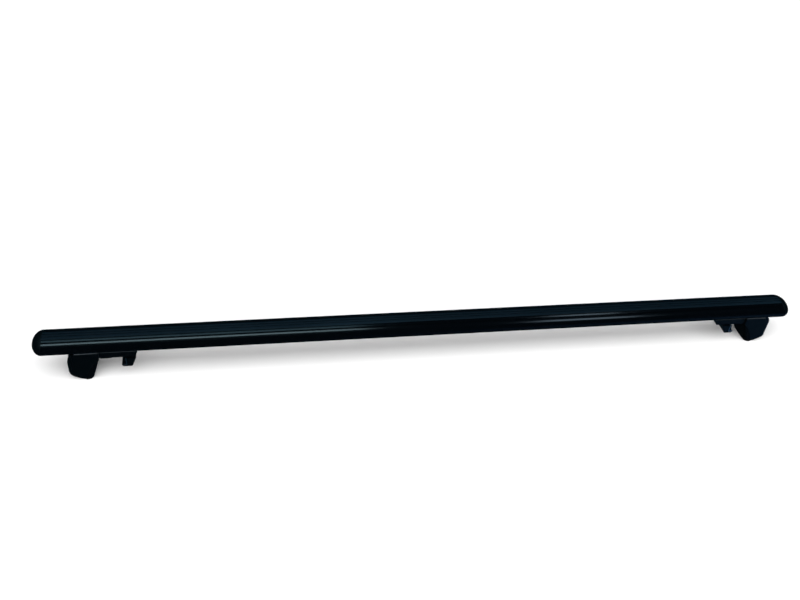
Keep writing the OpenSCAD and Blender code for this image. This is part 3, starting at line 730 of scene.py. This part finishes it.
def rail_pads(side):
    """Two grooved rubber strips under the arm."""
    low, high = [Vector((x, SEAT_Z)) for x in SEAT_X]
    line = rib_line(low, high, 10, -0.35 * MM)
    line = [Vector((p.x, max(p.y, SEAT_Z))) for p in line]
    section = [(low.x, ARM_Z)] + [tuple(p) for p in line] + [(high.x, ARM_Z)]
    meshes = []
    for middle in (-14 * MM, 14 * MM):
        meshes.append(lofted([[(x, middle + y * MM, z) for x, z in section] for y in (-3, -1, 1, 3)]))
    mesh = to_side(joined(*meshes), side)
    return piece("rail_treads_" + side, mesh, "foot_" + side, "plain_rubber",
                 "rail_pads_" + side, 30)


def thread_rings(start, end, hand):
    """Rings of a threaded shank along X: a helix of rounded crests over a thinner core."""
    pitch = bpy.context.scene.crossbar_hardware.thread_pitch
    depth, steps, slices = 0.6 * pitch, 24, 8
    count = max(2, round((end - start) / (pitch / slices)))
    rings = []
    for i in range(count + 1):
        x = start + (end - start) * i / count
        fade = min(1, (x - start) / pitch, (end - x) / pitch)
        ring = []
        for k in range(steps):
            angle = 2 * math.pi * k / steps
            phase = (x / pitch - hand * k / steps) % 1
            crest = 1 - abs(2 * phase - 1)
            r = SCREW_RADIUS - depth + depth * min(1, 1.25 * crest) * max(0, fade)
            ring.append((x, r * math.cos(angle), r * math.sin(angle)))
        rings.append(ring)
    return rings


def hexed(radius, angle):
    """Reach of a hexagon of that circumscribed radius in a direction."""
    return radius * math.cos(math.pi / 6) / math.cos(angle % (math.pi / 3) - math.pi / 6)


def socket_screw(shank, head, head_radius, socket, socket_depth, side):
    """A socket-head screw along X: shank and head are (start, end), and the head lies beyond the shank."""
    # The left side's screws are mirrored later, so they start left-handed
    thread = lofted(thread_rings(*shank, OUTWARD[side]))
    angles, bevel, (under, top) = directions(96), 0.4 * MM, head
    outside = [(under - 0.3 * MM, SCREW_RADIUS * 0.9), (under, SCREW_RADIUS * 0.95),
               (under, head_radius - bevel / 2), (under + bevel / 2, head_radius), (top - bevel, head_radius),
               (top - bevel * 0.3, head_radius - bevel * 0.3), (top, head_radius - bevel),
               (top, socket * 1.12)]
    rings = [round_ring(x, r, angles) for x, r in outside]
    for x, scale in ((top - 0.25 * MM, 1), (top - socket_depth, 1), (top - socket_depth, 0.5)):
        rings.append([(x, scale * hexed(socket, a) * math.cos(a), scale * hexed(socket, a) * math.sin(a))
                      for a in angles])
    return joined(thread, lofted(rings))


def clamp_screw(side):
    """The long threaded screw that draws the jaw, with its socket head."""
    mesh = socket_screw(shank=(-59.9 * MM, 18.1 * MM), head=(18 * MM, 23 * MM), head_radius=4.25 * MM,
                        socket=2.3 * MM, socket_depth=2.5 * MM, side=side)
    mesh.transform(Matrix.Translation((0, 0, CLAMP_Z)))
    to_side(mesh, side)
    return piece("clamp_thread_" + side, mesh, "clamp_screw_" + side, "zinc_plated_steel",
                 "clamp_screw_" + side, 40)


def fixing_screw(side):
    """The screw that pulls the slot nut down in the bar's channel, drawn along X and turned head down."""
    mesh = socket_screw(shank=(-52.4 * MM, -42 * MM), head=(-42.1 * MM, -39.4 * MM), head_radius=4.75 * MM,
                        socket=1.7 * MM, socket_depth=1.35 * MM, side=side)
    mesh.transform(Matrix.Rotation(math.pi / 2, 4, "Y"))
    mesh.transform(Matrix.Translation((FIXING_X, 0, 0)))
    to_side(mesh, side)
    return piece("fixing_thread_" + side, mesh, "foot_" + side, "zinc_plated_steel",
                 "fixing_screw_" + side, 40)


def key_slot(face, angles):
    """Rings of the slot for the key, from its bevelled mouth to its closed floor."""
    half_width, half_length, depth, bevel = 0.55 * MM, 2.8 * MM, 3 * MM, 0.12 * MM
    rings = []
    for x, grow in ((face - 0.05 * MM, bevel), (face - 0.2 * MM, 0), (face - depth, 0),
                    (face - depth, -0.4 * MM)):
        ring = []
        for a in angles:
            reach = min((half_width + grow) / max(abs(math.cos(a)), 1e-6),
                        (half_length + grow) / max(abs(math.sin(a)), 1e-6))
            ring.append((x, reach * math.cos(a), reach * math.sin(a)))
        rings.append(ring)
    return rings


def lock_barrel(side):
    """Barrel with a turned face, a key slot, and the cam on its inner end."""
    face, back, cam_foot, radius, hub_radius = 32.7 * MM, 23.2 * MM, 20.6 * MM, 5 * MM, 4 * MM
    angles = directions(96)
    profile = [(back, 0.4 * MM), (back, radius - 0.3 * MM), (back + 0.3 * MM, radius),
               (face - 0.5 * MM, radius), (face - 0.15 * MM, radius - 0.15 * MM), (face, radius - 0.5 * MM),
               (face, 3.95 * MM), (face - 0.35 * MM, 3.8 * MM), (face - 0.35 * MM, 3.6 * MM),
               (face - 0.05 * MM, 3.45 * MM)]
    barrel = lofted([round_ring(x, r, angles) for x, r in profile] + key_slot(face, angles))
    hub = lofted([round_ring(x, r, angles) for x, r in (
        (cam_foot, hub_radius - 0.4 * MM), (cam_foot + 0.3 * MM, hub_radius), (back, hub_radius))])
    cam = block((cam_foot, 0, -3 * MM), (cam_foot + 2.5 * MM, 8.5 * MM, 3 * MM), 0.5 * MM)
    mesh = joined(barrel, hub, cam)
    mesh.transform(Matrix.Translation((0, 0, LOCK_Z)))
    to_side(mesh, side)
    return piece("lock_face_" + side, mesh, "lock_" + side, "nickel_lock_barrel",
                 "lock_barrel_" + side)


def jaw_travel(side):
    """How far the jaw's face stands from the toe, read from the nut behind that face."""
    low, high = node_box("jaw_nut_" + side)
    face_to_nut = 4.25 * MM
    return OUTWARD[side] * ((low.x + high.x) / 2 - TOE_X[side]) + face_to_nut


class StageOperator(bpy.types.Operator):
    """Builds the pale floor, the soft lights and the camera"""
    bl_idname = "crossbar.stage"
    bl_label = "Studio"

    def execute(self, context):
        settings = context.scene.crossbar_studio
        build_floor(settings)
        build_lights(settings)
        build_camera(settings)
        return {"FINISHED"}


def stage_piece(name, rings, finish, closed_ends):
    """A part of the studio over rings of points, which reflections don't show."""
    obj = mesh_object(name, lofted(rings, closed_ends))
    obj.data.materials.append(finish.material)
    obj.visible_glossy = False
    return obj


def build_floor(settings):
    """A round floor of white paper, inside a bright wall that only the camera sees."""
    paper = tuple(settings.floor)
    reach, wall_height, thickness = 8, 8, 0.05
    circle = [(math.cos(a), math.sin(a)) for a in directions(96)]
    finish = Finish("studio_paper", paper, Roughness=0.9, Specular_IOR_Level=0.0)
    finish.feed("Base Color", finish.mix(finish.noise(2) * 0.04, paper, (0.8, 0.8, 0.8)))
    slab = [[(reach * x, reach * y, z) for x, y in circle] for z in (-thickness, 0)]
    stage_piece("studio_floor", slab, finish, True)
    glow = Finish("studio_wall", paper, Roughness=0.9, Specular_IOR_Level=0.0,
                  Emission_Color=(1, 1, 1, 1), Emission_Strength=1.2)
    ring = [[(reach * x, reach * y, z) for x, y in circle] for z in (0, wall_height)]
    wall = stage_piece("studio_wall", ring, glow, False)
    wall.visible_diffuse = False
    wall.visible_shadow = False


def area_light(name, place, target, size, power, colour):
    """A rectangular light aimed at a point, its length along the bar, which only reflections show."""
    light = bpy.data.lights.new(name, "AREA")
    light.shape = "RECTANGLE"
    light.size, light.size_y = size
    light.energy = power
    light.color = colour
    obj = bpy.data.objects.new(name, light)
    bpy.context.scene.collection.objects.link(obj)
    back = (Vector(place) - Vector(target)).normalized()
    along = (Vector((1, 0, 0)) - back.x * back).normalized()
    spin = Matrix((along, back.cross(along), back)).transposed().to_4x4()
    obj.matrix_world = Matrix.Translation(place) @ spin
    obj.visible_diffuse = False
    obj.visible_camera = False


def build_lights(settings):
    """A wide sky of soft light for the floor, long lights for the crown, and dim cool surroundings."""
    sky = bpy.data.lights.new("soft_sky", "SUN")
    sky.energy = settings.sky_strength
    sky.angle = math.radians(102)
    obj = bpy.data.objects.new("soft_sky", sky)
    bpy.context.scene.collection.objects.link(obj)
    obj.matrix_world = Vector((0.1, 0.85, -1)).to_track_quat("-Z", "Y").to_matrix().to_4x4()
    obj.visible_glossy = False
    height = 1.3
    for name, x, y, length, depth, share, colour in (
            ("crown_light_front", -0.42, -0.065, 0.95, 0.06, 0.85, (0.6, 0.89, 1)),
            ("crown_light_rear", -0.42, 0.35, 0.95, 0.1, 0.55, (0.42, 0.8, 1)),
            ("crown_light_far_front", 0.74, -0.26, 0.3, 0.22, 0.45, (0.6, 0.82, 1)),
            ("crown_light_far_rear", 0.74, 0.33, 0.2, 0.1, 0.16, (0.6, 0.82, 1))):
        area_light(name, (x, y, height), (x, 0, 0), (length, depth), share * settings.strip_power, colour)
    world = bpy.data.worlds.new("studio_surroundings")
    world.use_nodes = True
    network = Network(world.node_tree)
    direction = network.add("ShaderNodeTexCoord", output="Generated")
    across = network.add("ShaderNodeSeparateXYZ", {}, {"Vector": direction}, output="X")
    upward = network.add("ShaderNodeSeparateXYZ", {}, {"Vector": direction}, output="Z")
    dim, blue = (0.006, 0.017, 0.026), (0.042, 0.105, 0.21)
    side = network.ramp(across, (0.05, 0), (0.55, 1))
    below = network.ramp(0 - upward, (0.05, 0), (0.45, 1), (0.68, 1), (0.82, 0))
    colour = network.mix(side * below, dim, blue)
    connect(world.node_tree, world.node_tree.nodes["Background"].inputs["Color"], colour)
    bpy.context.scene.world = world
    world.cycles.sampling_method = "NONE"
    world.cycles_visibility.diffuse = False
    bpy.context.scene.view_settings.view_transform = "Standard"


def build_camera(settings):
    """Camera at the place and turn fitted to the photograph."""
    pitch, roll, turn = 0.698, 0.1042, 0.2309
    place = (-0.30182, -1.01799, 0.9865)
    forward = Vector((math.sin(turn) * math.cos(pitch), math.cos(turn) * math.cos(pitch), -math.sin(pitch)))
    level = forward.cross(Vector((0, 0, 1))).normalized()
    upright = level.cross(forward)
    right = math.cos(roll) * level + math.sin(roll) * upright
    up = math.cos(roll) * upright - math.sin(roll) * level
    data = bpy.data.cameras.new("camera")
    data.sensor_width = 36
    data.lens = settings.lens
    camera = bpy.data.objects.new("camera", data)
    bpy.context.scene.collection.objects.link(camera)
    spin = Matrix((right, up, -forward)).transposed().to_4x4()
    camera.matrix_world = Matrix.Translation(place) @ spin
    bpy.context.scene.camera = camera


class BarOperator(bpy.types.Operator):
    """Anodises the extrusion and fits the ribbed strip"""
    bl_idname = "crossbar.bar"
    bl_label = "Bar and strip"

    def execute(self, context):
        paint_node("bar_extrusion", "anodised_extrusion")
        ribbed_strip()
        return {"FINISHED"}


class CapsOperator(bpy.types.Operator):
    """Fits the moulded end caps with their plugs"""
    bl_idname = "crossbar.caps"
    bl_label = "End caps"

    def execute(self, context):
        for side in SIDES:
            end_cap(side)
        return {"FINISHED"}


class FeetOperator(bpy.types.Operator):
    """Finishes the moulded feet, their covers and gaskets"""
    bl_idname = "crossbar.feet"
    bl_label = "Feet and covers"

    def execute(self, context):
        for side in SIDES:
            paint_node("foot_body_" + side, "foot_nylon")
            paint_node("outer_cover_" + side, "cover_nylon")
            paint_node("foot_gasket_" + side, "gasket_rubber_painted_highlight")
        return {"FINISHED"}


class PadsOperator(bpy.types.Operator):
    """Fits the pebbled toe pads and the grooved pads under each arm"""
    bl_idname = "crossbar.pads"
    bl_label = "Toe and rail pads"

    def execute(self, context):
        for side in SIDES:
            toe_pad(side)
            rail_pads(side)
        return {"FINISHED"}


class JawsOperator(bpy.types.Operator):
    """Finishes the jaws and their steel, and fits their ribbed rubber"""
    bl_idname = "crossbar.jaws"
    bl_label = "Jaws"

    def execute(self, context):
        for side in SIDES:
            paint_node("jaw_" + side, "jaw_nylon")
            paint_node("hook_plate_" + side, "zinc_plated_steel")
            paint_node("jaw_nut_" + side, "zinc_plated_steel")
            jaw_pad(side, jaw_travel(side))
        return {"FINISHED"}


class ScrewsOperator(bpy.types.Operator):
    """Fits the threaded screws and finishes their washers, clips, nuts and pins"""
    bl_idname = "crossbar.screws"
    bl_label = "Screws and pins"

    def execute(self, context):
        for side in SIDES:
            clamp_screw(side)
            fixing_screw(side)
            for node in ("clamp_washer_", "screw_clip_", "slot_nut_", "cover_pin_"):
                paint_node(node + side, "zinc_plated_steel")
        return {"FINISHED"}


class LocksOperator(bpy.types.Operator):
    """Fits the lock barrels with their key slots"""
    bl_idname = "crossbar.locks"
    bl_label = "Locks"

    def execute(self, context):
        for side in SIDES:
            lock_barrel(side)
        return {"FINISHED"}


OPERATORS = (StageOperator, BarOperator, CapsOperator, FeetOperator, PadsOperator, JawsOperator,
             ScrewsOperator, LocksOperator)


class CrossbarPanel(bpy.types.Panel):
    """Lists the crossbar's pieces in the order in which they are made"""
    bl_idname = "VIEW3D_PT_crossbar"
    bl_label = "Roof Crossbar"
    bl_space_type = "VIEW_3D"
    bl_region_type = "UI"
    bl_category = "Crossbar"

    def draw(self, context):
        for name, group in GROUPS.items():
            box = self.layout.box()
            for setting in group.__annotations__:
                box.prop(getattr(context.scene, name), setting)
        for operator in OPERATORS:
            self.layout.operator(operator.bl_idname)


def register():
    """Makes the settings, operators and panel known to Blender."""
    for name, group in GROUPS.items():
        bpy.utils.register_class(group)
        setattr(bpy.types.Scene, name, bpy.props.PointerProperty(type=group))
    for cls in (*OPERATORS, CrossbarPanel):
        bpy.utils.register_class(cls)


def unregister():
    """Takes them out again, in the opposite order."""
    for cls in (CrossbarPanel, *OPERATORS):
        bpy.utils.unregister_class(cls)
    for name, group in GROUPS.items():
        delattr(bpy.types.Scene, name)
        bpy.utils.unregister_class(group)


def main():
    """Builds the stage and every piece."""
    register()
    bpy.ops.crossbar.stage()
    bpy.ops.crossbar.bar()
    bpy.ops.crossbar.caps()
    bpy.ops.crossbar.feet()
    bpy.ops.crossbar.pads()
    bpy.ops.crossbar.jaws()
    bpy.ops.crossbar.screws()
    bpy.ops.crossbar.locks()


if __name__ == "__main__":
    main()
